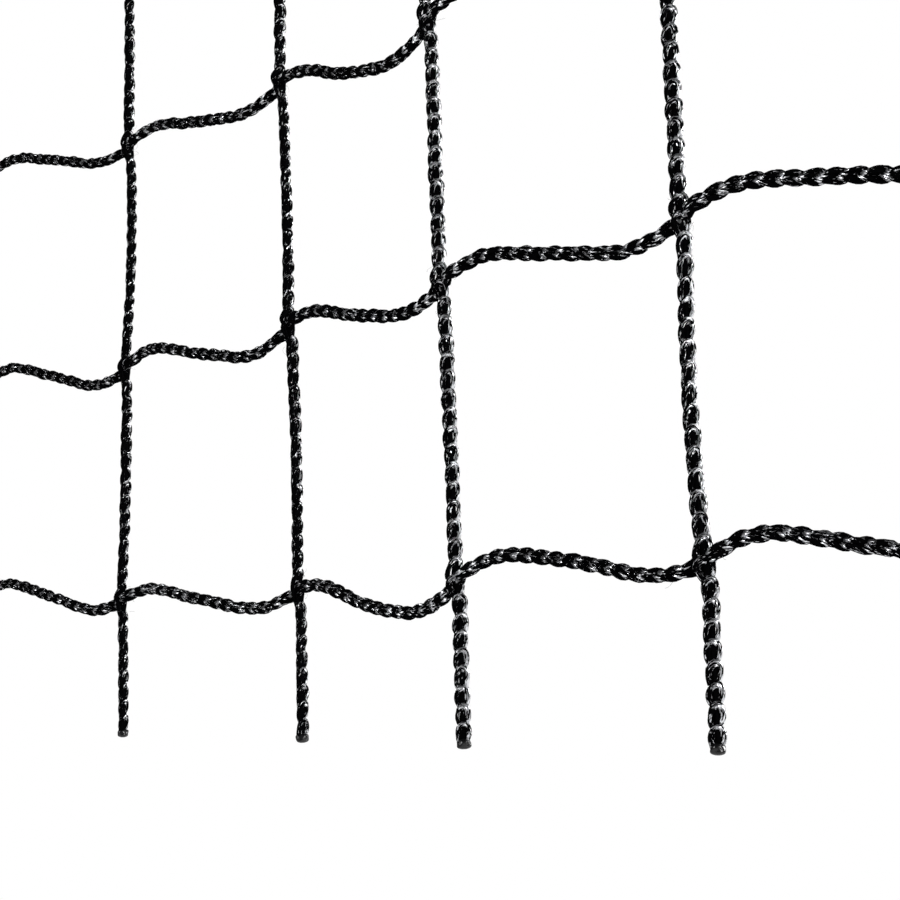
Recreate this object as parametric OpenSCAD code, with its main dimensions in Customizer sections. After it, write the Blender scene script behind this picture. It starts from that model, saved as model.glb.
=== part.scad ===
// Flat section of knotless square-mesh netting, as laced over a goal frame.
// Each cord is knitted as a chain of loops, and drawn here as a solid of its outer size.
// Upright cords hang taut. At every joint an upright opens into a front and a back leg,
// and the cross cord runs through the eye between them, so the mesh holds without a knot.
// Cross cords are slack: each bar crests after one joint and sags before the next.
// Origin: on the top cross cord, midway along it. +X along it, +Z up, +Y through the net.

/* [Cord] */
// Diameter of the knitted cord
cord_d = 2.2; // [1.6:0.1:3]

/* [Mesh] */
// Distance between neighbouring upright cords
mesh_w = 43; // [30:1:60]
// Distance between neighbouring cross cords
mesh_h = 45; // [30:1:60]
// Number of upright cords
upright_count = 8; // [2:1:12]
// Number of cross cords
cross_count = 6; // [2:1:9]

/* [Hang] */
// Rise and fall of a cross bar about its chord
swing = 2.6; // [0:0.1:4]
// Droop of the middle of a cross bar
droop = 0.8; // [0:0.1:1.2]
// How far the meshes are drawn up where the net puckers
pucker = 10; // [0:0.5:12]

/* [Joint] */
// Length of the eye that an upright opens into at a joint
eye_l = 6.6; // [5.6:0.1:9]
// Clearance between the cross cord and the legs of the eye
eye_gap = 0.25; // [0.15:0.05:0.3]
// Thickness of a leg of the eye
leg_t = 1; // [0.8:0.05:1.3]
// Width of a leg where it lies over the cross cord
leg_w = 1.8; // [1.4:0.1:2.4]
// Sideways step of an upright as it goes up through a joint
joint_step = 0.6; // [0:0.1:1.2]

/* [Cut edge] */
// Loose end of an upright beyond its last joint
upright_tail_l = 26; // [10:1:28]
// Loose end of a cross cord beyond its last joint
cross_tail_l = 25; // [10:1:28]
// Length of the rounded, heat-sealed tip
seal_l = 0.7; // [0.3:0.1:1.2]

/* [Hidden] */
sides = 6;
// Straight lengths that a cross bar is drawn with
bar_steps = 7;
// The tip of a sealed end, as a share of the cord's radius
tip_share = 0.6;
// A ring's corners stand as far outside the nominal circle as its flats lie inside it
ring_r = cord_d / 2 / cos(90 / sides);
flat_r = ring_r * cos(180 / sides);
eye_in = flat_r + eye_gap;

// The net doesn't hang evenly. In hundredths of a mesh: the sideways place and the lean of each
// upright, and in turn the rise of the joints and the bow of the upright bars
drift = [-13, -24, -3, 10, -6, -3, 2, -1];
lean = [3, -2, -5, 2, 2, 1, -3, 2];
joint_rise = [2, 0, -1, -2, -2, 0, 1, 1];
upright_bow = [-2, 3, 1, 0, 0, 1, 1, 0];
// In turn, each cross bar's share of the swing and of the droop
bar_swing = [0.85, 0.85, 0.8, 0.8, 1, 1.15, 0.75, 0.95];
bar_droop = [-0.5, 1.1, 4.4, -1.8, -0.3, 1.2, 2.2, 0.2];
// The cross cord at which no upright leans, and the cross cords in one lean to and fro
upright_row = 5;
lean_rows = 6;
// The middle of the pucker and its reach, counted in uprights and in cross cords
pucker_at = [1.6, 4.3];
pucker_reach = [0.7, 1.7];

function upright_name(i) = str("upright_cord_", i);
function cross_name(r) = str("cross_cord_", r);

// Item k of a list that starts again when it ends
function turn(list, k) = list[(k + 4 * len(list)) % len(list)];
// Bars and joints take their turns along the rows
function place(i, r) = 4 * r + i;

function joint_x(i, r) =
    let (sway = turn(drift, i - 1) + turn(lean, i - 1) * sin(360 * (r - upright_row) / lean_rows))
    mesh_w * (i - (upright_count + 1) / 2 + sway / 100);
function joint_z(i, r) =
    let (far = [(i - pucker_at.x) / pucker_reach.x, (r - pucker_at.y) / pucker_reach.y])
    mesh_h * (1 - r + turn(joint_rise, place(i, r) - 2) / 100) + pucker * exp(-far * far);
function joint(i, r) = [joint_x(i, r), 0, joint_z(i, r)];

// Height of bar (i, r) above its chord at share t of its width: one wave that leaves
// each joint steeply, and a droop
function bar_lift(i, r, t) =
    swing * turn(bar_swing, place(i, r) - 2) * (sin(360 * t) + 0.2 * sin(720 * t))
    - droop * turn(bar_droop, place(i, r) - 2) * sin(180 * t);

// Point of cross cord r at position q, counted in uprights
function cross_point(r, q) =
    let (i = floor(q), t = q - i)
    joint(i, r) * (1 - t) + joint(i + 1, r) * t + [0, 0, bar_lift(i, r, t)];

// Sideways step of an upright at share t of the way down to its next joint
function step_at(t) =
    let (eye = eye_l / 2 / mesh_h)
    joint_step * lookup(t, [[0, 0], [eye, 0.5], [1 - eye, -0.5], [1, 0]]);

// Point of upright i at position q, counted in cross cords; its loose ends don't bow
function upright_point(i, q) =
    let (
        r = floor(q),
        t = q - r,
        bow = r > 0 && r < cross_count ? turn(upright_bow, place(i, r) - 2) / 100 : 0,
        aside = mesh_w * bow * sin(180 * t) + step_at(t)
    )
    joint(i, r) * (1 - t) + joint(i, r + 1) * t + [aside, 0, 0];

// A ring of the cord round point p, square to a route that heads along slope (degrees
// above +X); its first corner is on the upper side
function ring(p, slope, r) = [
    for (k = [0:sides - 1])
    let (a = 360 * k / sides)
    p + r * [-sin(slope) * cos(a), sin(a), cos(slope) * cos(a)]
];

// Triangles between two closed rows of as many corners, given by their numbers
function band(a, b) = [
    for (k = [0:len(a) - 1])
    let (n = (k + 1) % len(a))
    each [[a[k], a[n], b[n]], [a[k], b[n], b[k]]]
];
function first_cap(a) = [for (k = [1:len(a) - 2]) [a[0], a[k + 1], a[k]]];
function last_cap(a) = [for (k = [1:len(a) - 2]) [a[0], a[k], a[k + 1]]];
function numbers(from, count) = [for (k = [0:count - 1]) from + k];

// Positions of a cross cord's rings: its two ends and equal steps between them
function cross_stops() =
    let (
        share = cross_tail_l / mesh_w,
        from = 1 - share,
        to = upright_count + share,
        inner = [
            for (k = [ceil(from * bar_steps + 0.5):floor(to * bar_steps - 0.5)]) k / bar_steps
        ]
    )
    concat([from], inner, [to]);

function heading(a, b) = atan2(b.z - a.z, b.x - a.x);

module cross_cord(r) {
    points = [for (q = cross_stops()) cross_point(r, q)];
    last = len(points) - 1;
    start = heading(points[0], points[1]);
    end = heading(points[last - 1], points[last]);
    rings = concat(
        [ring(points[0] - seal_l * [cos(start), 0, sin(start)], start, ring_r * tip_share)],
        [
            for (k = [0:last])
            ring(points[k], heading(points[max(k - 1, 0)], points[min(k + 1, last)]), ring_r)
        ],
        [ring(points[last] + seal_l * [cos(end), 0, sin(end)], end, ring_r * tip_share)]
    );
    count = len(rings);
    color("#17181b")
        polyhedron(
            points = [for (row = rings) each row],
            faces = concat(
                first_cap(numbers(0, sides)),
                [
                    for (k = [0:count - 2])
                    each band(numbers(k * sides, sides), numbers((k + 1) * sides, sides))
                ],
                last_cap(numbers((count - 1) * sides, sides))
            )
        );
}

// A level ring of an upright round point p, seen from above anticlockwise from +X
function level_ring(p, r) = [
    for (k = [0:sides - 1]) let (a = 360 * k / sides) p + r * [cos(a), sin(a), 0]
];
// Corners of the front leg (side -1) and the back leg (side 1), in the order in which
// they follow on from corners 3, 4, 5, 0 and 0, 1, 2, 3 of the ring above
function leg_ring(x, z, side, out) = [
    [x + side * leg_w / 2, side * eye_in, z],
    [x + side * leg_w * 0.36, side * (eye_in + out), z],
    [x - side * leg_w * 0.36, side * (eye_in + out), z],
    [x - side * leg_w / 2, side * eye_in, z]
];

// Rings of an upright at joint r: whole, three times two legs, whole again
function joint_rings(i, r) =
    let (x = joint_x(i, r), z = joint_z(i, r), s = joint_step / 2, h = eye_l / 2)
    concat(
        level_ring([x - s, 0, z + h], ring_r),
        [
            for (k = [1, 0, -1])
            for (side = [-1, 1])
            each leg_ring(x - k * s / 2, z + k * h / 2, side, leg_t * (k == 0 ? 1 : 0.85))
        ],
        level_ring([x + s, 0, z - h], ring_r)
    );

module upright_cord(i) {
    share = upright_tail_l / mesh_h;
    top = upright_point(i, 1 - share);
    bottom = upright_point(i, cross_count + share);
    joint_corners = 2 * sides + 24;
    stride = joint_corners + sides;
    first = 2 * sides;
    whole = function (r) numbers(first + (r - 1) * stride, sides);
    leg = function (r, k, side) numbers(first + (r - 1) * stride + sides + 8 * k + 4 * side, 4);
    again = function (r) numbers(first + (r - 1) * stride + joint_corners - sides, sides);
    middle = function (r) numbers(first + (r - 1) * stride + joint_corners, sides);
    lowest = numbers(first + cross_count * stride, sides);
    color("#17181b")
        polyhedron(
            points = concat(
                level_ring(top + [0, 0, seal_l], ring_r * tip_share),
                level_ring(top, ring_r),
                [
                    for (r = [1:cross_count])
                    each concat(
                        joint_rings(i, r),
                        level_ring(r < cross_count ? upright_point(i, r + 0.5) : bottom, ring_r)
                    )
                ],
                level_ring(bottom - [0, 0, seal_l], ring_r * tip_share)
            ),
            faces = concat(
                first_cap(numbers(0, sides)),
                band(numbers(0, sides), numbers(sides, sides)),
                [
                    for (r = [1:cross_count])
                    each concat(
                        band(r == 1 ? numbers(sides, sides) : middle(r - 1), whole(r)),
                        band([for (k = [3, 4, 5, 0]) whole(r)[k]], leg(r, 0, 0)),
                        band([for (k = [0, 1, 2, 3]) whole(r)[k]], leg(r, 0, 1)),
                        [for (k = [0, 1], side = [0, 1]) each band(leg(r, k, side), leg(r, k + 1, side))],
                        band(leg(r, 2, 0), [for (k = [3, 4, 5, 0]) again(r)[k]]),
                        band(leg(r, 2, 1), [for (k = [0, 1, 2, 3]) again(r)[k]]),
                        band(again(r), middle(r))
                    )
                ],
                band(middle(cross_count), lowest),
                last_cap(lowest)
            )
        );
}

for (i = [1:upright_count])
    upright_cord(i);
for (r = [1:cross_count])
    cross_cord(r);
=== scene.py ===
"""Knotless square-mesh goal netting: knitted cords, heat-sealed ends and a plain studio stage."""

import math
from collections import namedtuple

import bpy
import numpy as np
from bpy.props import FloatProperty, FloatVectorProperty, IntProperty, PointerProperty
from mathutils import Matrix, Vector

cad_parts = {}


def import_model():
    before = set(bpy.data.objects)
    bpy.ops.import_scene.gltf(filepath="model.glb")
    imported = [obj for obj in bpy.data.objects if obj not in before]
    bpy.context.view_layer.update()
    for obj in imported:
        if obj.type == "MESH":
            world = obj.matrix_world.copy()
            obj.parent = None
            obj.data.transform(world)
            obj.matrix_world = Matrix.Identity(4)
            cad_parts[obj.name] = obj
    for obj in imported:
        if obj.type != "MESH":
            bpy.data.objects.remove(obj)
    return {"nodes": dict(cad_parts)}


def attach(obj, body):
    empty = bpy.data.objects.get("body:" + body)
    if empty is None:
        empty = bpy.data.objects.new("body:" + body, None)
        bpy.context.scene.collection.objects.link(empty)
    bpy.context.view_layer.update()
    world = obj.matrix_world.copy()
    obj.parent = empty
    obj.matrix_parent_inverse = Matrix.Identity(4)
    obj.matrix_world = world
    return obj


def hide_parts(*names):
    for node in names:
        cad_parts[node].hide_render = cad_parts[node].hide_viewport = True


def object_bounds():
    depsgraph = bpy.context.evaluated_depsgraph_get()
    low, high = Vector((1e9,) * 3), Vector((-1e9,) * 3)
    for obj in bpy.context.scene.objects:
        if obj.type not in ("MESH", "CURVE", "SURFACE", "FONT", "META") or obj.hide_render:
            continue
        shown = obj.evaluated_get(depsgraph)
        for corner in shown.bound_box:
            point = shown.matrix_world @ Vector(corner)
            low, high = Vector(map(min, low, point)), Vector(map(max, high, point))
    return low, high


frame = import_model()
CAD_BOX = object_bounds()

bl_info = {
    "name": "Knotless goal netting",
    "version": (1, 0, 0),
    "blender": (4, 5, 0),
    "location": "3D View > Sidebar > Netting",
    "description": "Knits the cords of a square-mesh goal net and sets them in a plain studio",
    "category": "Add Mesh",
}

MM = 0.001
BODY = "root"
UPRIGHTS = sorted(name for name in frame["nodes"] if name.startswith("upright_cord_"))
CROSS_CORDS = sorted(name for name in frame["nodes"] if name.startswith("cross_cord_"))

# The routes of the cords, as in the part's own source. The first four lists are shares of a mesh:
# sideways place and lean of each upright, and in turn the rise of the joints and the bow of the
# upright bars. The last two are each cross bar's share of the swing and of the droop.
DRIFT = np.array([-13, -24, -3, 10, -6, -3, 2, -1]) / 100
LEAN = np.array([3, -2, -5, 2, 2, 1, -3, 2]) / 100
JOINT_RISE = np.array([2, 0, -1, -2, -2, 0, 1, 1]) / 100
UPRIGHT_BOW = np.array([-2, 3, 1, 0, 0, 1, 1, 0]) / 100
BAR_SWING = np.array([0.85, 0.85, 0.8, 0.8, 1, 1.15, 0.75, 0.95])
BAR_DROOP = np.array([-0.5, 1.1, 4.4, -1.8, -0.3, 1.2, 2.2, 0.2])
# The cross cord at which no upright leans, and the cross cords in one lean to and fro
UPRIGHT_ROW = 5
LEAN_ROWS = 6
# The middle of the pucker and its reach, counted in uprights and in cross cords
PUCKER_AT = (1.6, 4.3)
PUCKER_REACH = (0.7, 1.7)


# ---- Settings ------------------------------------------------------------------------------

def length(name, description, default):
    """A length in metres that a user can change."""
    return FloatProperty(
        name=name, description=description, default=default, min=0, precision=5, unit="LENGTH"
    )


def whole_number(name, description, default, least):
    """A count that a user can change."""
    return IntProperty(name=name, description=description, default=default, min=least)


def colour(name, description, default):
    """A colour that a user can change."""
    return FloatVectorProperty(
        name=name, description=description, default=default, subtype="COLOR", min=0, max=1
    )


class NettingSizes(bpy.types.PropertyGroup):
    """Sizes of the net, of its stitches and of its ends."""

    mesh_width: length("Mesh width", "Distance between upright cords", 0.043)
    mesh_height: length("Mesh height", "Distance between cross cords", 0.045)
    swing: length("Swing", "Rise and fall of a cross bar", 0.0026)
    droop: length("Droop", "Droop of the middle of a cross bar", 0.0008)
    pucker: length("Pucker", "How far the meshes are drawn up where the net puckers", 0.01)
    joint_step: length("Joint step", "Sideways step of an upright at a joint", 0.0006)
    eye_length: length("Eye length", "Length over which an upright opens at a joint", 0.0066)
    upright_tail: length("Upright tail", "Loose end of an upright beyond its last joint", 0.026)
    cross_tail: length("Cross tail", "Loose end of a cross cord beyond its last joint", 0.025)
    stitches_per_bar: whole_number("Stitches per bar", "Stitches of the chain in one bar", 16, 2)
    loop_half_width: length("Loop half width", "From the cord's axis to a loop's legs", 0.00084)
    loop_depth: length("Loop depth", "How far a head stands towards the side it faces", 0.00044)
    yarn_radius: length("Yarn radius", "Radius of the knitted yarn", 0.00047)
    core_radius: length("Core radius", "Radius of the yarn laid in along the cord", 0.00046)
    joint_reach: length("Joint reach", "Half length over which a joint opens the chain", 0.002)
    joint_weave: length("Joint weave", "How far a cross cord stands to either side of a joint", 0.0006)
    joint_push: length("Joint push", "How far an upright's yarn parts round the cross cord", 0.0008)
    seal_length: length("Seal length", "Length of the melted end of a cord", 0.0016)
    seal_radius: length("Seal radius", "Radius of the melted end of a cord", 0.00105)
    hair_radius: length("Filament radius", "Radius of a stray filament", 0.000015)
    hairs_per_joint: whole_number("Filaments per joint", "Stray filaments at a joint", 6, 0)


class NettingColours(bpy.types.PropertyGroup):
    """Colours of the cords and the studio."""

    cord: colour("Cord", "Colour of the dyed filaments", (0.0015, 0.0015, 0.0018))
    # Painted highlight: a pale mirror-like colour that the black yarn takes where it glints
    glint: colour("Glints", "Colour of the filaments that catch the light", (0.85, 0.86, 0.89))
    sealed: colour("Sealed ends", "Colour of the melted ends", (0.006, 0.006, 0.0065))
    floor: colour("Floor", "Colour of the studio floor", (0.88, 0.88, 0.88))


# ---- Routes of the cords -------------------------------------------------------------------

# Points of a cord's axis in a bar, and how many to either side soften its bends
STEPS_PER_BAR = 400
SMOOTH_REACH = 14
# The share of a second, shorter wave that makes a cross bar leave its joints steeply
STEEPNESS = 0.2
# The way through the net
ACROSS = np.array([0.0, 1.0, 0.0])


def in_turn(values, index):
    """The entries of a list that starts again when it ends, at whole-number positions."""
    return np.take(values, np.asarray(index, dtype=int), mode="wrap")


def of_place(values, column, row):
    """A list's entry for the joint or bar at a column and row: number 4 row + column - 2, because
    they take their turns along the rows."""
    return in_turn(values, 4 * row + column - 2)


def joint_x(column, row, sizes):
    """Across, in mesh widths: column - middle column + drift + lean sin(2 pi (row - 5) / 6)."""
    middle = (len(UPRIGHTS) + 1) / 2
    lean = in_turn(LEAN, column - 1) * np.sin(2 * np.pi * (row - UPRIGHT_ROW) / LEAN_ROWS)
    return sizes.mesh_width * (column - middle + in_turn(DRIFT, column - 1) + lean)


def joint_z(column, row, sizes):
    """Up: the row's own height, the joint's rise above it, and the pucker, a bell exp(-d^2) at
    distance d from its middle."""
    far = (column - PUCKER_AT[0]) / PUCKER_REACH[0], (row - PUCKER_AT[1]) / PUCKER_REACH[1]
    level = sizes.mesh_height * (1 - row + of_place(JOINT_RISE, column, row))
    return level + sizes.pucker * np.exp(-far[0] ** 2 - far[1] ** 2)


def cross_route(row, q, sizes):
    """x and z of a cross cord at position q, counted in uprights: straight between two joints, plus
    swing times (sin 2 pi t + 0.2 sin 4 pi t), less droop times sin pi t, at share t of the bar."""
    column = np.floor(q).astype(int)
    t = q - column
    wave = np.sin(2 * np.pi * t) + STEEPNESS * np.sin(4 * np.pi * t)
    lift = sizes.swing * of_place(BAR_SWING, column, row) * wave
    lift = lift - sizes.droop * of_place(BAR_DROOP, column, row) * np.sin(np.pi * t)
    x = (1 - t) * joint_x(column, row, sizes) + t * joint_x(column + 1, row, sizes)
    z = (1 - t) * joint_z(column, row, sizes) + t * joint_z(column + 1, row, sizes) + lift
    return np.stack([x, z], axis=1)


def upright_route(column, q, sizes):
    """x and z of an upright at position q, counted in cross cords from the top: straight between
    two joints, plus bow times sin pi t at share t of the bar, and with a step to the right over the
    length of each eye that the bars take back. The loose ends don't bow."""
    row = np.floor(q).astype(int)
    t = q - row
    half_eye = sizes.eye_length / 2 / sizes.mesh_height
    step = np.interp(t, [0, half_eye, 1 - half_eye, 1], [0, 0.5, -0.5, 0]) * sizes.joint_step
    bow = of_place(UPRIGHT_BOW, column, row) * (row > 0) * (row < len(CROSS_CORDS))
    x = (1 - t) * joint_x(column, row, sizes) + t * joint_x(column, row + 1, sizes)
    z = (1 - t) * joint_z(column, row, sizes) + t * joint_z(column, row + 1, sizes)
    return np.stack([x + sizes.mesh_width * bow * np.sin(np.pi * t) + step, z], axis=1)


def softened(points, reach):
    """The points averaged with their neighbours, so many to either side, under a Hann window."""
    window = np.hanning(2 * reach + 3)[1:-1]
    window /= window.sum()
    before = 2 * points[0] - points[reach:0:-1]
    after = 2 * points[-1] - points[-2:-reach - 2:-1]
    padded = np.concatenate([before, points, after])
    return np.stack([np.convolve(line, window, "valid") for line in padded.T], axis=1)


def unit(vectors):
    """Vectors scaled to length one."""
    return vectors / np.linalg.norm(vectors, axis=-1, keepdims=True)


def run_along(lines):
    """Distances from the first point of lines (..., point, xyz) to each of their points."""
    gaps = np.linalg.norm(np.diff(lines, axis=-2), axis=-1)
    return np.concatenate([np.zeros_like(gaps[..., :1]), np.cumsum(gaps, axis=-1)], axis=-1)


class Axis:
    """The middle line of a cord, past both its ends to the next whole position. At d joint reaches
    past a joint it stands weave times d exp((1 - d^2) / 2) towards the front."""

    def __init__(self, route, index, joint_count, weave, sizes):
        q = np.linspace(0, joint_count + 1, (joint_count + 1) * STEPS_PER_BAR + 1)
        flat = softened(route(index, q, sizes), SMOOTH_REACH)
        self.points = np.stack([flat[:, 0], np.zeros(len(flat)), flat[:, 1]], axis=1)
        self.along = run_along(self.points)
        self.joints = self.along[::STEPS_PER_BAR]
        past = self.along[:, None] - self.joints[1:-1]
        nearest = np.abs(past).argmin(axis=1)[:, None]
        d = np.take_along_axis(past, nearest, axis=1)[:, 0] / sizes.joint_reach
        self.points[:, 1] = -weave * d * np.exp((1 - d ** 2) / 2)

    def at(self, distance):
        """Points of the line at distances along it."""
        return np.stack([np.interp(distance, self.along, line) for line in self.points.T], axis=-1)


# ---- Surfaces ------------------------------------------------------------------------------

# Plies in a yarn; their twist in radians a millimetre; how far they wander, in radians, and the
# millimetres in a radian of that; and how far out they lie, as a share of the yarn's radius
PLIES = 4
PLY_TWIST = 0.6
PLY_WANDER = 0.5
PLY_WANDER_RUN = 2.3
PLY_OUT = 0.5
# How much further along its yarn each tube's lay starts than the last one's, in millimetres
TUBE_START = 37.0


def with_poles(values):
    """Values (tube, ring, side, ...) as rows, with the means of the two end rings after them."""
    rows = values.reshape(len(values), -1, *values.shape[3:])
    return np.concatenate([rows, values[:, [0, -1]].mean(axis=2)], axis=1)


def paint(mesh, name, kind, key, values):
    """A new attribute of the mesh's points."""
    data = mesh.attributes.new(name, kind, "POINT").data
    data.foreach_set(key, values.astype(np.float32).ravel())


def skin(name, tubes, lay, material, lustre=None):
    """An object made of closed tubes, given as points (tube, ring, side, xyz) that wrap round; each
    tube ends in a pole at the middle of its end ring. The attribute lay holds, at every point, the
    distance along the yarn in millimetres and the cosine and sine of the angle round it, and a second
    attribute the painted light: how readily painted highlights come up there, and where painted shade
    keeps them down."""
    count, rings, sides = tubes.shape[:3]
    points = with_poles(tubes)
    ring, side = np.meshgrid(np.arange(rings - 1), np.arange(sides), indexing="ij")
    here, after = ring * sides + side, ring * sides + (side + 1) % sides
    quads = np.stack([here, after, after + sides, here + sides], axis=-1).reshape(-1, 4)
    around, following = here[0], after[0]
    pole = np.full(sides, rings * sides)
    last_ring = (rings - 1) * sides
    first_cap = np.stack([pole, following, around], axis=1)
    last_cap = np.stack([pole + 1, last_ring + around, last_ring + following], axis=1)
    caps = np.concatenate([first_cap, last_cap])

    shift = np.arange(count)[:, None] * points.shape[1]
    corners = np.concatenate([(quads.ravel() + shift).ravel(), (caps.ravel() + shift).ravel()])
    quad_starts = np.arange(count * len(quads)) * 4
    cap_starts = count * quads.size + np.arange(count * len(caps)) * 3
    starts = np.concatenate([quad_starts, cap_starts])

    mesh = bpy.data.meshes.new(name)
    mesh.vertices.add(points.shape[0] * points.shape[1])
    mesh.vertices.foreach_set("co", points.astype(np.float32).ravel())
    mesh.loops.add(len(corners))
    mesh.loops.foreach_set("vertex_index", corners.astype(np.int32))
    mesh.polygons.add(len(starts))
    mesh.polygons.foreach_set("loop_start", starts.astype(np.int32))
    mesh.polygons.foreach_set("use_smooth", np.ones(len(starts), dtype=bool))
    mesh.update(calc_edges=True)
    paint(mesh, "lay", "FLOAT_VECTOR", "vector", with_poles(lay))
    # The painted light, which places painted highlights and painted shade
    if lustre is not None:
        paint(mesh, "lustre", "FLOAT", "value", with_poles(lustre))
    mesh.materials.append(material)
    piece = bpy.data.objects.new(name, mesh)
    bpy.context.scene.collection.objects.link(piece)
    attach(piece, BODY)
    return piece


def section(paths, thin):
    """Two directions square to paths (..., point, xyz): the thin one, turned as little as it takes
    from the one given, and the wide one, which is square to both."""
    tangent = unit(np.gradient(paths, axis=-2))
    thin = unit(thin - tangent * np.sum(thin * tangent, axis=-1, keepdims=True))
    return thin, np.cross(tangent, thin)


def swept(paths, thin, half_thickness, half_width, sides):
    """Tubes with an oval section along paths (tube, point, xyz): at angle a the surface stands
    half_thickness cos a along the thin direction and half_width sin a square to it and the path."""
    thin, wide = section(paths, thin)
    angle = 2 * np.pi * np.arange(sides) / sides
    thin_part = thin[:, :, None] * (half_thickness * np.cos(angle))[..., None]
    wide_part = wide[:, :, None] * (half_width * np.sin(angle))[..., None]
    return paths[:, :, None] + thin_part + wide_part


def laid_plies(path, thin, half_thickness, half_width):
    """Middle lines of the plies that a yarn is laid from. Ply k of n starts at s = 2 pi k / n and
    stands towards s + twist times run + wander sin(run / wander run + 2 s), where run is the
    distance along the yarn in millimetres, PLY_OUT of the way out in the yarn's oval section."""
    run = run_along(path) / MM
    thin, wide = section(path, thin)
    start = 2 * np.pi * np.arange(PLIES)[:, None] / PLIES
    angle = start + PLY_TWIST * run + PLY_WANDER * np.sin(run / PLY_WANDER_RUN + 2 * start)
    thin_part = thin * (PLY_OUT * half_thickness * np.cos(angle))[..., None]
    return path + thin_part + wide * (PLY_OUT * half_width * np.sin(angle))[..., None]


def lay_along(paths, sides, first=0.0):
    """The lay attribute of tubes along paths: distance from the first ring, which a different start
    for each tube keeps from repeating, and the cosine and sine of the angle round the tube."""
    run = run_along(paths) / MM + first + TUBE_START * np.arange(len(paths))[:, None]
    angle = 2 * np.pi * np.arange(sides) / sides
    return np.stack(np.broadcast_arrays(run[..., None], np.cos(angle), np.sin(angle)), axis=-1)


# ---- Knitted chain -------------------------------------------------------------------------

# A ply: the sides of its tube, and its thickness as a share of the yarn's radius
PLY_SIDES = 5
PLY_SIZE = 0.54
# The yarn laid in along a cord: sides and rings of its tube, its painted light, low so that it
# stays in painted shade, and how much that rises at a joint for painted highlights there, and how far
# it stops short of the cord's end, as a share of a seal
CORE_SIDES = 8
CORE_RINGS = 500
CORE_PAINTED_LIGHT = -0.5
CORE_PAINTED_GLINT = 0.6
CORE_ROOM = 1 / 3
# The yarn's way through one stitch: place across in loop half widths, place along in stitches, place
# towards the side that the loop faces in loop depths, spread in that side's plane, and painted light,
# high for painted highlights about the heads and feet and low for painted shade on the legs.
# Heads out, the yarn goes up the left leg, over the head in front, down the right leg and on behind
# to the next stitch, whose feet this one's head holds.
HEADS_OUT = np.array([
    (-0.28, -0.60, -0.6, 1, 0.4), (-0.66, -0.44, -0.2, 0.9, 0.2), (-0.94, -0.18, 0.3, 0.9, -0.1),
    (-1.00, 0.12, 0.55, 0.95, -0.3), (-0.76, 0.43, 0.85, 1.15, 0), (0, 0.60, 1.0, 1.35, 0.8),
    (0.76, 0.43, 0.85, 1.15, 0.5), (1.00, 0.12, 0.55, 0.95, 0), (0.94, -0.18, 0.3, 0.9, 0.5),
    (0.66, -0.44, -0.2, 0.9, 1.3), (0.28, -0.60, -0.6, 1, 1.3), (0, -0.45, -1.3, 1, 0.3),
    (0, 0.0, -1.35, 1, 0),
])
# Legs out, it comes forward through the loop before, goes up the left leg, round the head at the
# back, down the right leg, back through the loop before and on behind to the next stitch.
LEGS_OUT = np.array([
    (-0.20, -0.92, -0.3, 0.9, 1.0), (-0.34, -0.72, 0.7, 0.9, 1.6), (-0.44, -0.36, 1.0, 0.95, 0.0),
    (-0.85, 0.00, 0.6, 1.2, -0.3), (-1.05, 0.30, -0.1, 1.1, 0.1), (0, 0.66, -1.0, 1, 0.6),
    (1.05, 0.30, -0.1, 1.1, 0.3), (0.85, 0.04, 0.6, 1.2, -0.1), (0.46, -0.26, 1.0, 0.95, 0.0),
    (0.38, -0.52, 0.8, 0.9, 1.6), (0.22, -0.76, -0.3, 0.9, 1.2), (0, -0.65, -1.4, 1, 0),
    (0, -0.15, -1.5, 1, 0),
])
# How far the chain stops short of a cord's end, in stitches
END_ROOM = 0.25
# Steps of the yarn's way from one point of a stitch to the next
STEPS_PER_POINT = 2
# Unevenness of the stitches, in the units of their points
UNEVEN = np.array([0.07, 0.025, 0.12, 0.06, 0])
# A kind of cord: its stitch; the side that its loops face, in degrees round it; the way its stitches
# follow on; how far a loop leans, in stitches to its half width; length, width and yarn of a stitch,
# as shares of the plain ones; the painted light that stands for 0 in its stitch, where 1 stays 1,
# lower for painted shade on the legs; how close its filaments and their painted highlights lie along
# and round the plies; whether its yarn parts at a joint; and, for each cord in turn, how far it is
# rolled, in degrees, and how much more painted light it has, as painted highlight or shade on the
# whole cord
Knit = namedtuple("Knit", "stitch facing way lean length width yarn legs along around parts roll shine")
UPRIGHT_KNIT = Knit(
    stitch=HEADS_OUT, facing=315, way=-1, lean=0.1, length=1, width=1, yarn=1, legs=0,
    along=0.9, around=1.1, parts=1,
    roll=(15, -20, 60, 50, 0, 0, -25, 30), shine=(0, -0.1, -0.15, -0.1, 0.2, 0.2, 0, 0.1),
)
CROSS_KNIT = Knit(
    stitch=LEGS_OUT, facing=262, way=1, lean=0, length=1.05, width=0.8, yarn=1.2, legs=-0.15,
    along=0.9, around=1, parts=0,
    roll=(10, -15, 0, 10, 0, 10), shine=(0.05, 0, 0.05, 0, 0, 0.1),
)
# Painted shade on the recessed middle of a cord: the yarn's painted light is taken away within the
# first of these distances from the cord's axis, and left whole beyond the second
SHADED = (0.00045, 0.00085)
# At a joint: how much wider a loop is, how much thicker the laid-in yarn, and how much painted light
# the loops lose, as painted shade where the joint squeezes them
JOINT_WIDEN = 0.45
JOINT_SWELL = 1.1
JOINT_SHADE = 0.25
# Where an upright's yarn parts at a joint: behind this place, in loop depths, it passes at the back
PART_AT = -0.8
PART_SHARPNESS = 3
# Slow turn of the cord to and fro, in radians, and the stitches in a radian of its sway
SWAY = 0.2
SWAY_STITCHES = 4


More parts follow.
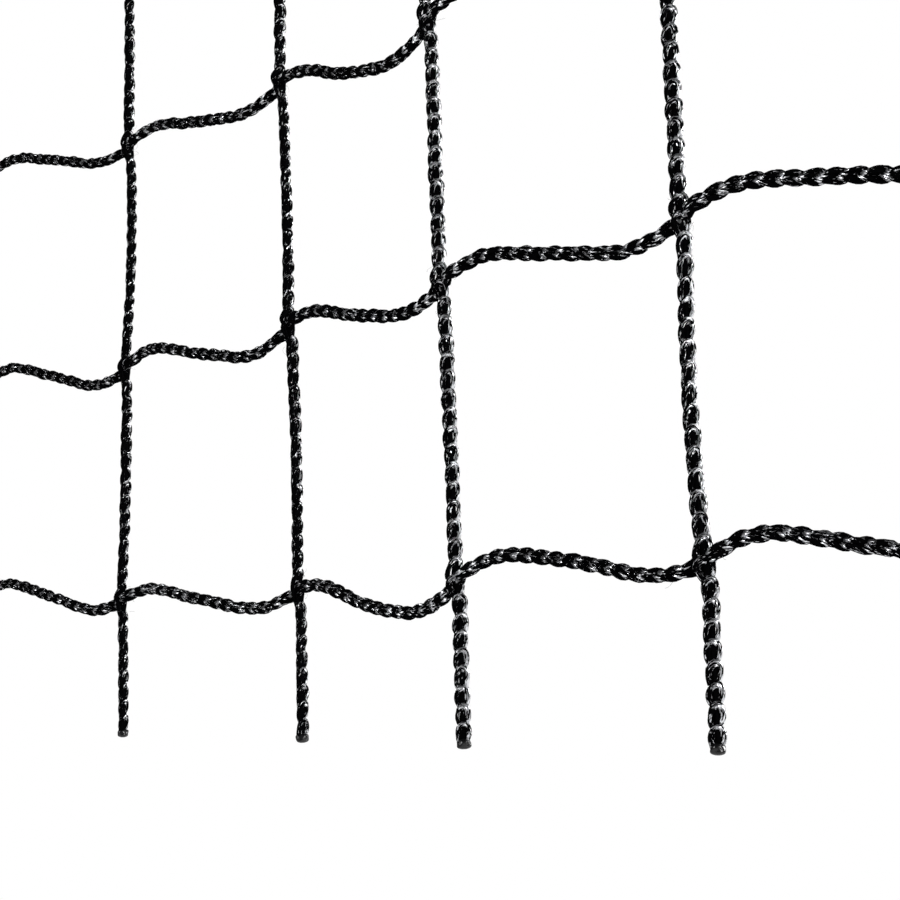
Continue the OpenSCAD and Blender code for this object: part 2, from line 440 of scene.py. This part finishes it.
def chain(count, knit, draw):
    """The yarn's way through a chain of stitches, which repeat the same points one place further
    along, each a little uneven; straight between the points and then softened."""
    points = np.tile(knit.stitch, (count, 1))
    points += UNEVEN * draw.normal(size=points.shape)
    stitch = np.repeat(np.arange(count), len(knit.stitch))
    points[:, 1] = stitch + knit.length * points[:, 1] + knit.lean * points[:, 0]
    number = np.arange(len(points))
    t = np.linspace(0, number[-1], number[-1] * STEPS_PER_POINT + 1)
    finer = np.stack([np.interp(t, number, line) for line in points.T], axis=1)
    return softened(finer, STEPS_PER_POINT)


def joint_bell(axis, distance, sizes):
    """1 at a joint, and exp(-d^2) at d joint reaches from it."""
    nearest = np.abs(distance[:, None] - axis.joints[1:-1]).min(axis=1)
    return np.exp(-(nearest / sizes.joint_reach) ** 2)


def yarn_path(axis, ends, knit, phase, sizes):
    """The yarn of a cord, the side it faces, the cord's axis beside it, its spread and its painted
    light.

    The chain is laid along the axis and turned towards the side that it faces, plus a slow sway.
    Near a joint a bell exp(-d^2) widens it and takes from its painted light, as painted shade, and in
    an upright the loops pass in front of the cross cord while the yarn behind them passes at its back."""
    stops = np.interp(ends, axis.joints, np.arange(len(axis.joints))) * sizes.stitches_per_bar
    reach = knit.length * np.abs(knit.stitch[:, 1]).max() + END_ROOM
    room = stops[1] - stops[0] - 2 * reach
    way = chain(round(room) + 1, knit, np.random.default_rng(phase))
    across, along, depth, spread, lustre = way.T
    along = stops[0] + reach + along * room / round(room)
    if knit.way < 0:
        along = stops.sum() - along
    distance = np.interp(along / sizes.stitches_per_bar, np.arange(len(axis.joints)), axis.joints)
    bell = joint_bell(axis, distance, sizes)
    turn = np.radians(knit.facing + in_turn(knit.roll, phase))
    turn = turn + SWAY * np.sin(along / SWAY_STITCHES + phase)
    sideways = knit.width * sizes.loop_half_width * across * (1 + JOINT_WIDEN * bell)
    outward = sizes.loop_depth * depth
    push = knit.parts * sizes.joint_push * bell * np.tanh(PART_SHARPNESS * (depth - PART_AT))

    centre = axis.at(distance)
    side = np.cross(unit(axis.at(distance + MM / 10) - axis.at(distance - MM / 10)), ACROSS)
    facing_way = np.cos(turn)[:, None] * side + np.sin(turn)[:, None] * ACROSS
    sideways_way = np.cos(turn)[:, None] * ACROSS - np.sin(turn)[:, None] * side
    path = centre + sideways[:, None] * sideways_way + outward[:, None] * facing_way
    path = path - push[:, None] * ACROSS
    return path, facing_way, centre, spread, lustre - JOINT_SHADE * bell


def cord_ends(axis, tail_share, sizes):
    """Distances along the axis at which a cord with loose ends that long starts and stops."""
    joints = axis.joints
    start = joints[1] - tail_share * (joints[1] - joints[0])
    stop = joints[-2] + tail_share * (joints[-1] - joints[-2])
    return start, stop


def knitted_cord(node, axis, ends, knit, phase, sizes, material):
    """The chain of loops that a cord is knitted as, in place of a CAD node."""
    path, facing_way, centre, spread, lustre = yarn_path(axis, ends, knit, phase, sizes)
    radius = knit.yarn * sizes.yarn_radius
    paths = laid_plies(path, facing_way, radius * spread ** -0.5, radius * spread)
    tubes = swept(paths, facing_way, PLY_SIZE * radius, PLY_SIZE * radius, PLY_SIDES)
    from_axis = np.linalg.norm(tubes - centre[None, :, None], axis=-1)
    # Painted light: highlights from the stitch's table and the cord's share, less painted shade near
    # the cord's axis
    lustre = knit.legs + (1 - knit.legs) * lustre[:, None] + in_turn(knit.shine, phase)
    lustre = lustre * np.interp(from_axis, SHADED, (0, 1))
    lay = lay_along(paths, PLY_SIDES, first=PLIES * TUBE_START * phase)
    piece = skin(f"{node}_chain", tubes, lay, material, lustre)
    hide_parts(node)
    return piece


def cores(name, cords, sizes, material):
    """The straight yarns laid in along the cords."""
    room = CORE_ROOM * sizes.seal_length
    paths, bells = [], []
    for _, axis, (start, stop) in cords:
        distance = np.linspace(start + room, stop - room, CORE_RINGS)
        paths.append(axis.at(distance))
        bells.append(joint_bell(axis, distance, sizes))
    paths, bell = np.stack(paths), np.stack(bells)[..., None]
    radius = sizes.core_radius * (1 + JOINT_SWELL * bell)
    tubes = swept(paths, ACROSS, radius, radius, CORE_SIDES)
    lustre = np.broadcast_to(CORE_PAINTED_LIGHT + CORE_PAINTED_GLINT * bell, tubes.shape[:3])
    return skin(name, tubes, lay_along(paths, CORE_SIDES), material, lustre)


def upright_axes(sizes):
    """Each upright's node, axis and ends."""
    share = sizes.upright_tail / sizes.mesh_height
    for column, node in enumerate(UPRIGHTS, start=1):
        axis = Axis(upright_route, column, len(CROSS_CORDS), 0, sizes)
        yield node, axis, cord_ends(axis, share, sizes)


def cross_axes(sizes):
    """Each cross cord's node, axis and ends."""
    share = sizes.cross_tail / sizes.mesh_width
    for row, node in enumerate(CROSS_CORDS, start=1):
        axis = Axis(cross_route, row, len(UPRIGHTS), sizes.joint_weave, sizes)
        yield node, axis, cord_ends(axis, share, sizes)


# ---- Ends and stray filaments --------------------------------------------------------------

SEAL_RINGS = 14
SEAL_SIDES = 20
# Where the first and last rings of a seal lie, as shares of its length
SEAL_SPAN = (0.02, 0.98)
# Lumps of a seal: their height as a share of its radius, how many run round it, how many times its
# own phase turns them, and their twist over its length, in radians
SEAL_LUMPS = ((0.06, 2, 1, 3), (0.04, 3, -2, -7))
# Stray filaments: sides, points, scatter along the cord about a joint, range of their length and of
# their rise, scatter of their direction, how much of a half wave they curl over, and seed
HAIR_SIDES = 5
HAIR_POINTS = 9
HAIR_SCATTER = 0.0021
HAIR_LENGTH = (0.0005, 0.0015)
HAIR_RISE = (0.0002, 0.0006)
HAIR_LEAN = 0.6
HAIR_CURL = 1.25
HAIR_SEED = 7
# Tilts the direction that sets a filament's section, so that it isn't the filament's own
HAIR_TILT = 0.01


def sealed_end(tip, inward, phase, sizes):
    """A melted drop round the end of a cord: a revolved profile sqrt(1 - (2s - 1)^4), s from 0 to 1
    along the seal, times 1 plus lumps h sin(n angle + m phase + twist s)."""
    s = np.linspace(*SEAL_SPAN, SEAL_RINGS)[:, None]
    angle = 2 * np.pi * np.arange(SEAL_SIDES)[None, :] / SEAL_SIDES
    lumps = 1
    for height, count, turns, twist in SEAL_LUMPS:
        lumps = lumps + height * np.sin(count * angle + turns * phase + twist * s)
    profile = (sizes.seal_radius * np.sqrt(1 - (2 * s - 1) ** 4) * lumps)[..., None]
    side = unit(np.cross(inward, ACROSS))
    centre = tip + inward * sizes.seal_length * s[..., None]
    return centre + profile * (np.cos(angle)[..., None] * ACROSS + np.sin(angle)[..., None] * side)


def stray_filaments(axes, seed, sizes):
    """Paths of fine hairs that stand out of the joints: each leaves the cord's skin, curls over and
    comes down again, root + along t + outward h sin(pi t / curl), with t from 0 to 1."""
    draw = np.random.default_rng(seed)
    count = sizes.hairs_per_joint
    t = np.linspace(0, 1, HAIR_POINTS)[None, :, None]
    paths = []
    for _, axis, _ in axes:
        joints = axis.joints[1:-1]
        distance = np.repeat(joints, count) + draw.normal(0, HAIR_SCATTER, len(joints) * count)
        centre = axis.at(distance)
        tangent = unit(axis.at(distance + MM) - centre)
        turn = draw.uniform(0, 2 * np.pi, len(distance))[:, None]
        outward = np.cos(turn) * np.cross(tangent, ACROSS) + np.sin(turn) * ACROSS
        root = centre + outward * (sizes.loop_half_width + sizes.yarn_radius / 2)
        reach = draw.uniform(*HAIR_LENGTH, len(distance))[:, None]
        lean = draw.normal(0, HAIR_LEAN, (len(distance), 3))
        lean = lean + tangent * draw.choice([-1, 1], len(distance))[:, None]
        rise = draw.uniform(*HAIR_RISE, len(distance))[:, None]
        run = (unit(lean) * reach)[:, None] * t
        curl = (outward * rise)[:, None] * np.sin(np.pi * t / HAIR_CURL)
        paths.append(root[:, None] + run + curl)
    return np.concatenate(paths)


# ---- Materials -----------------------------------------------------------------------------

# Roughness of the yarn between its glints and at them, of the melted ends and of the floor, each
# from the lowest value of its pattern to the highest
YARN_ROUGHNESS = (0.5, 0.3)
SEAL_ROUGHNESS = (0.16, 0.4)
FLOOR_ROUGHNESS = (0.7, 0.9)
# How many times closer the fine filaments lie than the coarse ones, and their share of the lay
FINE_TIMES = 2.3
FINE_SHARE = 0.4
# The weight of the painted light against the filaments' own level, and the sums of the two from
# which a filament begins to take the painted highlight colour and takes it fully
PAINTED_LIGHT_WEIGHT = 0.18
PAINTED_GLINT_LEVELS = (0.605, 0.625)
# Depth of the filaments and of the dents in a melted end; how close the dents and the floor's
# mottle lie, per metre
RELIEF = 0.0002
DENT_SCALE = 1800
DENT_STRENGTH = 0.5
MOTTLE_SCALE = 6
# Strength at which the floor lifts itself towards white for the camera
FLOOR_LIFT = 0.6


def nodes_of(tree, **kinds):
    """New nodes of a tree by name, each given by its kind and, after a colon, its operation."""
    nodes = {}
    for name, kind in kinds.items():
        kind, _, operation = kind.partition(":")
        nodes[name] = tree.nodes.new(kind)
        if operation:
            nodes[name].operation = operation
    return nodes


def wire(tree, nodes, *wires):
    """Links from one node's output to another node's input."""
    for start, output, end, socket in wires:
        tree.links.new(nodes[start].outputs[output], nodes[end].inputs[socket])


def preset(node, values):
    """Sets inputs of a node, given by name or number."""
    for socket, value in values.items():
        node.inputs[socket].default_value = value


def new_material(name, **kinds):
    """A material, its tree and its nodes: those asked for, and its Principled one as shader."""
    material = bpy.data.materials.new(name)
    material.use_nodes = True
    tree = material.node_tree
    return material, tree, {**nodes_of(tree, **kinds), "shader": tree.nodes["Principled BSDF"]}


def filament_group():
    """Fine parallel filaments that run along a ply: a level mixed from two noises over the attribute
    lay, one finer, both stretched along the yarn."""
    group = bpy.data.node_groups.new("Filament lay", "ShaderNodeTree")
    for name in ("Along", "Around", "Fine"):
        group.interface.new_socket(name, in_out="INPUT", socket_type="NodeSocketFloat")
    group.interface.new_socket("Level", in_out="OUTPUT", socket_type="NodeSocketFloat")
    n = nodes_of(
        group, given="NodeGroupInput", out="NodeGroupOutput", lay="ShaderNodeAttribute",
        stretch="ShaderNodeCombineXYZ", scaled="ShaderNodeVectorMath:MULTIPLY",
        finer="ShaderNodeVectorMath:SCALE", coarse_noise="ShaderNodeTexNoise",
        fine_noise="ShaderNodeTexNoise", level="ShaderNodeMix",
    )
    n["lay"].attribute_name = "lay"
    n["level"].data_type = "FLOAT"
    preset(n["coarse_noise"], {"Scale": 1, "Detail": 1})
    preset(n["fine_noise"], {"Scale": 1, "Detail": 1})
    preset(n["level"], {"Factor": FINE_SHARE})
    wire(
        group, n,
        ("given", "Along", "stretch", "X"), ("given", "Around", "stretch", "Y"),
        ("given", "Around", "stretch", "Z"), ("lay", "Vector", "scaled", 0),
        ("stretch", "Vector", "scaled", 1), ("scaled", "Vector", "finer", 0),
        ("given", "Fine", "finer", "Scale"), ("scaled", "Vector", "coarse_noise", "Vector"),
        ("finer", "Vector", "fine_noise", "Vector"), ("coarse_noise", "Fac", "level", "A"),
        ("fine_noise", "Fac", "level", "B"), ("level", "Result", "out", "Level"),
    )
    return group


def filament_material(colours, name, knit):
    """Dyed continuous filament: nearly black, with painted highlights, streaks of a pale mirror-like
    colour, along each ply where the painted light is high."""
    material, tree, n = new_material(
        name, lay="ShaderNodeGroup", tint="ShaderNodeMix", polish="ShaderNodeMapRange",
        bump="ShaderNodeBump", shine="ShaderNodeAttribute", lustre="ShaderNodeMath:MULTIPLY_ADD",
        glint="ShaderNodeMapRange",
    )
    n["lay"].node_tree = bpy.data.node_groups.get("Filament lay") or filament_group()
    n["shine"].attribute_name = "lustre"
    n["tint"].data_type = "RGBA"
    preset(n["lay"], {"Along": knit.along, "Around": knit.around, "Fine": FINE_TIMES})
    preset(n["lustre"], {1: PAINTED_LIGHT_WEIGHT})
    preset(n["glint"], {"From Min": PAINTED_GLINT_LEVELS[0], "From Max": PAINTED_GLINT_LEVELS[1]})
    # Painted highlight: past the glint levels the yarn turns from its dark colour to the pale
    # mirror-like one and turns metallic
    preset(n["tint"], {"A": (*colours.cord, 1), "B": (*colours.glint, 1)})
    preset(n["polish"], {"To Min": YARN_ROUGHNESS[0], "To Max": YARN_ROUGHNESS[1]})
    preset(n["bump"], {"Strength": 1, "Distance": RELIEF})
    preset(n["shader"], {"Specular IOR Level": 0})
    wire(
        tree, n,
        ("shine", "Fac", "lustre", 0), ("lay", "Level", "lustre", 2),
        ("lustre", "Value", "glint", "Value"), ("glint", "Result", "tint", "Factor"),
        ("tint", "Result", "shader", "Base Color"), ("glint", "Result", "polish", "Value"),
        ("polish", "Result", "shader", "Roughness"), ("glint", "Result", "shader", "Metallic"),
        ("lay", "Level", "bump", "Height"), ("bump", "Normal", "shader", "Normal"),
    )
    return material


def sealed_material(colours):
    """Yarn that a hot knife melted: glossy, with shallow dents."""
    material, tree, n = new_material(
        "melted_yarn", place="ShaderNodeTexCoord", dents="ShaderNodeTexNoise",
        polish="ShaderNodeMapRange", bump="ShaderNodeBump",
    )
    preset(n["dents"], {"Scale": DENT_SCALE})
    preset(n["polish"], {"To Min": SEAL_ROUGHNESS[0], "To Max": SEAL_ROUGHNESS[1]})
    preset(n["bump"], {"Strength": DENT_STRENGTH, "Distance": RELIEF})
    preset(n["shader"], {"Base Color": (*colours.sealed, 1)})
    wire(
        tree, n,
        ("place", "Object", "dents", "Vector"), ("dents", "Fac", "polish", "Value"),
        ("polish", "Result", "shader", "Roughness"), ("dents", "Fac", "bump", "Height"),
        ("bump", "Normal", "shader", "Normal"),
    )
    return material


def floor_material(colours):
    """Pale matt floor with a faint mottle, lifted towards white where the camera sees it."""
    material, tree, n = new_material(
        "studio_floor", place="ShaderNodeTexCoord", mottle="ShaderNodeTexNoise",
        polish="ShaderNodeMapRange", path="ShaderNodeLightPath", lift="ShaderNodeMath:MULTIPLY",
    )
    preset(n["lift"], {1: FLOOR_LIFT})
    preset(n["mottle"], {"Scale": MOTTLE_SCALE})
    preset(n["polish"], {"To Min": FLOOR_ROUGHNESS[0], "To Max": FLOOR_ROUGHNESS[1]})
    preset(n["shader"], {"Base Color": (*colours.floor, 1), "Emission Color": (1, 1, 1, 1)})
    wire(
        tree, n,
        ("path", "Is Camera Ray", "lift", 0), ("lift", "Value", "shader", "Emission Strength"),
        ("place", "Object", "mottle", "Vector"), ("mottle", "Fac", "polish", "Value"),
        ("polish", "Result", "shader", "Roughness"),
    )
    return material


# ---- Stage ---------------------------------------------------------------------------------

# Camera: place in metres; azimuth, elevation and roll in degrees; lens and sensor in millimetres;
# and the nearest distance that it sees, in metres
CAMERA_PLACE = (0.1622, -0.1589, -0.2342)
CAMERA_AZIMUTH = 41.99
CAMERA_ELEVATION = 7.55
CAMERA_ROLL = -2.285
CAMERA_LENS = 56
CAMERA_SENSOR = 36
CAMERA_CLIP = 0.01
# Height and half width of the floor, and how far the lamps stand from the net's middle
FLOOR_HEIGHT = -0.6
FLOOR_HALF = 1.2
LAMP_DISTANCE = 1.2
# Lamps: azimuth from the front towards the right and elevation, in degrees; width and height, in
# metres; and strength, in watts
LAMPS = (
    ("left_lamp", -30, 12, 0.3, 0.3, 6.5),
    ("front_lamp", 80, 10, 0.3, 0.3, 10),
    ("right_lamp", 145, 8, 0.25, 0.5, 12),
)
# World: the Y of a direction from which reflections brighten, up to straight behind the net; their
# light elsewhere and there; and the light on dull surfaces
BEHIND_FROM = 0.85
BEHIND_LIGHT = (0.02, 1)
ROOM_LIGHT = 0.2


def floor_plane(colours):
    """A square floor below the hanging net."""
    mesh = bpy.data.meshes.new("floor")
    square = FLOOR_HALF * np.array([(-1, -1), (1, -1), (1, 1), (-1, 1)])
    mesh.from_pydata([(x, y, FLOOR_HEIGHT) for x, y in square], [], [(0, 1, 2, 3)])
    mesh.materials.append(floor_material(colours))
    floor = bpy.data.objects.new("floor", mesh)
    bpy.context.scene.collection.objects.link(floor)


def camera():
    """The camera stands in front and to the right of the net and looks slightly up."""
    data = bpy.data.cameras.new("camera")
    data.lens = CAMERA_LENS
    data.sensor_width = CAMERA_SENSOR
    data.clip_start = CAMERA_CLIP
    viewer = bpy.data.objects.new("camera", data)
    turn = Matrix.Rotation(math.radians(CAMERA_AZIMUTH), 4, "Z")
    tilt = Matrix.Rotation(math.radians(90 + CAMERA_ELEVATION), 4, "X")
    roll = Matrix.Rotation(math.radians(CAMERA_ROLL), 4, "Z")
    viewer.matrix_world = Matrix.Translation(CAMERA_PLACE) @ turn @ tilt @ roll
    bpy.context.scene.collection.objects.link(viewer)
    bpy.context.scene.camera = viewer


def lamps(middle):
    """Soft lamps that face the net's middle."""
    for name, azimuth, elevation, width, height, strength in LAMPS:
        data = bpy.data.lights.new(name, "AREA")
        data.shape = "RECTANGLE"
        data.size = width
        data.size_y = height
        data.energy = strength
        lamp = bpy.data.objects.new(name, data)
        turn = Matrix.Rotation(math.radians(azimuth), 4, "Z")
        tilt = Matrix.Rotation(math.radians(90 - elevation), 4, "X")
        back = Matrix.Translation((0, 0, LAMP_DISTANCE))
        lamp.matrix_world = Matrix.Translation(middle) @ turn @ tilt @ back
        bpy.context.scene.collection.objects.link(lamp)


def world():
    """White to the camera. Reflections see BEHIND_LIGHT, which rises towards the side behind the
    net, and dull surfaces get ROOM_LIGHT from all round."""
    sky = bpy.data.worlds.new("studio")
    sky.use_nodes = True
    tree = sky.node_tree
    n = nodes_of(
        tree, path="ShaderNodeLightPath", direction="ShaderNodeTexCoord",
        parts="ShaderNodeSeparateXYZ", behind="ShaderNodeMapRange", sharp="ShaderNodeMath:MAXIMUM",
        glossy="ShaderNodeMath:MULTIPLY", seen="ShaderNodeMath:MAXIMUM",
        dull="ShaderNodeMath:SUBTRACT", level="ShaderNodeMath:MULTIPLY",
        strength="ShaderNodeMath:MAXIMUM",
    )
    n["background"] = tree.nodes["Background"]
    n["dull"].use_clamp = True
    preset(n["behind"], {"From Min": BEHIND_FROM, "From Max": 1})
    preset(n["behind"], {"To Min": BEHIND_LIGHT[0], "To Max": BEHIND_LIGHT[1]})
    preset(n["dull"], {0: 1})
    preset(n["level"], {1: ROOM_LIGHT})
    preset(n["background"], {"Color": (1, 1, 1, 1)})
    wire(
        tree, n,
        ("direction", "Generated", "parts", "Vector"), ("parts", "Y", "behind", "Value"),
        ("path", "Is Glossy Ray", "sharp", 0), ("path", "Is Transmission Ray", "sharp", 1),
        ("sharp", "Value", "glossy", 0), ("behind", "Result", "glossy", 1),
        ("path", "Is Camera Ray", "seen", 0), ("glossy", "Value", "seen", 1),
        ("sharp", "Value", "dull", 1), ("dull", "Value", "level", 0),
        ("seen", "Value", "strength", 0), ("level", "Value", "strength", 1),
        ("strength", "Value", "background", "Strength"),
    )
    bpy.context.scene.world = sky


# ---- Operators -----------------------------------------------------------------------------

def settings(context):
    """The sizes and colours that the sidebar shows."""
    return context.scene.netting_sizes, context.scene.netting_colours


def knit_cords(context, kind, knit, axes):
    """The cords of one kind and the yarns laid in along them."""
    sizes, colours = settings(context)
    material = filament_material(colours, f"{kind}_yarn", knit)
    cords = list(axes(sizes))
    for phase, (node, axis, ends) in enumerate(cords):
        knitted_cord(node, axis, ends, knit, phase, sizes, material)
    cores(f"{kind}_cores", cords, sizes, material)
    return {"FINISHED"}


class NETTING_OT_uprights(bpy.types.Operator):
    """Knit the taut upright cords"""

    bl_idname = "netting.uprights"
    bl_label = "Upright cords"

    def execute(self, context):
        return knit_cords(context, "upright", UPRIGHT_KNIT, upright_axes)


class NETTING_OT_cross_cords(bpy.types.Operator):
    """Knit the slack cross cords"""

    bl_idname = "netting.cross_cords"
    bl_label = "Cross cords"

    def execute(self, context):
        return knit_cords(context, "cross", CROSS_KNIT, cross_axes)


class NETTING_OT_sealed_ends(bpy.types.Operator):
    """Melt the cut ends of the cords"""

    bl_idname = "netting.sealed_ends"
    bl_label = "Sealed ends"

    def execute(self, context):
        sizes, colours = settings(context)
        drops = []
        for _, axis, ends in [*upright_axes(sizes), *cross_axes(sizes)]:
            for end, step in zip(ends, (MM, -MM)):
                tip = axis.at(end)
                drops.append(sealed_end(tip, unit(axis.at(end + step) - tip), len(drops), sizes))
        tubes = np.stack(drops)
        skin("sealed_ends", tubes, np.zeros_like(tubes), sealed_material(colours))
        return {"FINISHED"}


class NETTING_OT_stray_filaments(bpy.types.Operator):
    """Pull a few stray filaments out of the joints"""

    bl_idname = "netting.stray_filaments"
    bl_label = "Stray filaments"

    def execute(self, context):
        sizes, colours = settings(context)
        paths = stray_filaments([*upright_axes(sizes), *cross_axes(sizes)], HAIR_SEED, sizes)
        thin = np.cross(np.gradient(paths, axis=1), ACROSS + HAIR_TILT)
        tubes = swept(paths, thin, sizes.hair_radius, sizes.hair_radius, HAIR_SIDES)
        material = filament_material(colours, "stray_yarn", UPRIGHT_KNIT)
        skin("stray_filaments", tubes, lay_along(paths, HAIR_SIDES), material)
        return {"FINISHED"}


class NETTING_OT_stage(bpy.types.Operator):
    """Set the floor, lamps, background and camera"""

    bl_idname = "netting.stage"
    bl_label = "Studio"

    def execute(self, context):
        _, colours = settings(context)
        floor_plane(colours)
        lamps((CAD_BOX[0] + CAD_BOX[1]) / 2)
        world()
        camera()
        context.scene.view_settings.view_transform = "Standard"
        return {"FINISHED"}


OPERATORS = (
    NETTING_OT_stage,
    NETTING_OT_uprights,
    NETTING_OT_cross_cords,
    NETTING_OT_sealed_ends,
    NETTING_OT_stray_filaments,
)


class NETTING_PT_sidebar(bpy.types.Panel):
    """Sizes, colours and steps of the netting"""

    bl_idname = "NETTING_PT_sidebar"
    bl_label = "Goal netting"
    bl_space_type = "VIEW_3D"
    bl_region_type = "UI"
    bl_category = "Netting"

    def draw(self, context):
        for group in settings(context):
            for name in group.bl_rna.properties.keys():
                if name not in ("rna_type", "name"):
                    self.layout.prop(group, name)
        for operator in OPERATORS:
            self.layout.operator(operator.bl_idname)


CLASSES = (NettingSizes, NettingColours, *OPERATORS, NETTING_PT_sidebar)


def register():
    """Adds the sidebar, its settings and its operators."""
    for cls in CLASSES:
        bpy.utils.register_class(cls)
    bpy.types.Scene.netting_sizes = PointerProperty(type=NettingSizes)
    bpy.types.Scene.netting_colours = PointerProperty(type=NettingColours)


def unregister():
    """Takes out what register adds."""
    del bpy.types.Scene.netting_colours
    del bpy.types.Scene.netting_sizes
    for cls in reversed(CLASSES):
        bpy.utils.unregister_class(cls)


def main():
    """Build everything in order."""
    register()
    bpy.ops.netting.stage()
    bpy.ops.netting.uprights()
    bpy.ops.netting.cross_cords()
    bpy.ops.netting.sealed_ends()
    bpy.ops.netting.stray_filaments()


if __name__ == "__main__":
    main()
